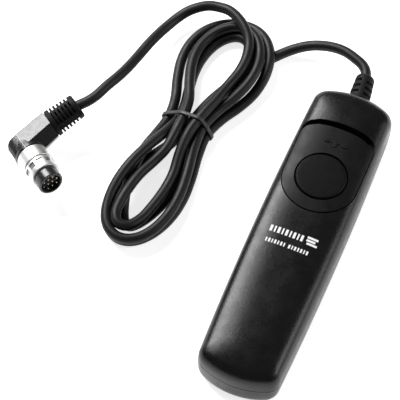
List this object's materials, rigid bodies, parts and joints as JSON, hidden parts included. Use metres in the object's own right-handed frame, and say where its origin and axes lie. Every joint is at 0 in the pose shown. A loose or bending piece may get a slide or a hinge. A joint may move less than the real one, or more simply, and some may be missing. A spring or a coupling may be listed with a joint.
{
  "type": "cable shutter release",
  "caption": "Handheld wired remote shutter release with a push button in a sliding lock, a hanked cord and a right-angle multi-pin plug with a screw ring.",
  "frame": {"origin": "centre of the handset's underside, on the surface that it lies on", "axes": "+Y along the handset towards its cord, +Z out of the button, +X across the handset"},
  "size_m": [0.1156, 0.1321, 0.0192],
  "materials": {
    "shell": "satin black moulded plastic with a fine grain",
    "panel": "satin black moulded plastic",
    "button": "satin black moulded plastic",
    "plug": "black moulded plastic",
    "rubber": "soft black vinyl",
    "insulator": "dark insulating plastic",
    "nickel": "nickel plate",
    "gold": "gold flash",
    "steel": "spring steel",
    "screw": "zinc plate",
    "brass": "bright contact strip",
    "board": "green solder resist",
    "wire_common": "black insulation",
    "wire_focus": "white insulation",
    "wire_release": "red insulation"
  },
  "bodies": {
    "handset": {"back_cover": "shell", "front_cover": "shell", "circuit_board": "board", "board_screw_1": "screw", "board_screw_2": "screw", "contact_block": "insulator", "focus_contact": "brass", "release_contact": "brass", "handset_boot": "rubber", "cord_tail": "rubber", "wire_common": "wire_common", "wire_focus": "wire_focus", "wire_release": "wire_release", "plug_housing": "plug", "plug_end_cap": "plug", "plug_boot": "rubber", "barrel_collar": "nickel", "nose_sleeve": "plug", "pin_carrier": "insulator", "cable_tie": "rubber", "cord_hank": "rubber", "cord_handset_side": "rubber", "cord_plug_side": "rubber", "cover_screw_1": "screw", "cover_screw_2": "screw", "cover_screw_3": "screw", "cover_screw_4": "screw", "contact_pin_01": "gold", "contact_pin_02": "gold", "contact_pin_03": "gold", "contact_pin_04": "gold", "contact_pin_05": "gold", "contact_pin_06": "gold", "contact_pin_07": "gold", "contact_pin_08": "gold", "contact_pin_09": "gold", "contact_pin_10": "gold"},
    "lock_slider": {"lock_slider": "panel", "slider_keeper": "steel", "keeper_screw_1": "screw", "keeper_screw_2": "screw", "button_spring": "steel"},
    "release_button": {"release_button": "button", "stem_clip": "steel"},
    "common_leaf": {"common_leaf": "brass"},
    "lock_ring": {"lock_ring": "nickel"}
  },
  "joints": [
    {"name": "lock_slide", "type": "slide", "parent": "handset", "child": "lock_slider", "axis": [0, 1, 0], "range_m": [0, 0.002]},
    {"name": "button_press", "type": "slide", "parent": "lock_slider", "child": "release_button", "axis": [0, 0, -1], "range_m": [0, 0.0016], "stiffness_N_per_m": 600, "springref_m": -0.0008, "deforming": ["button_spring"]},
    {"name": "leaf_bend", "type": "hinge", "parent": "handset", "child": "common_leaf", "pos_m": [-0.0095, 0.0202, 0.00855], "axis": [0, 1, 0], "range_deg": [0, 10]},
    {"name": "ring_spin", "type": "hinge", "parent": "handset", "child": "lock_ring", "pos_m": [-0.08575, -0.00752, 0.0084], "axis": [0.7541, -0.6106, 0.2419], "continuous": true}
  ],
  "couplings": [
    {"joint": "leaf_bend", "follows": "button_press", "rad_per_m": 105.26}
  ]
}
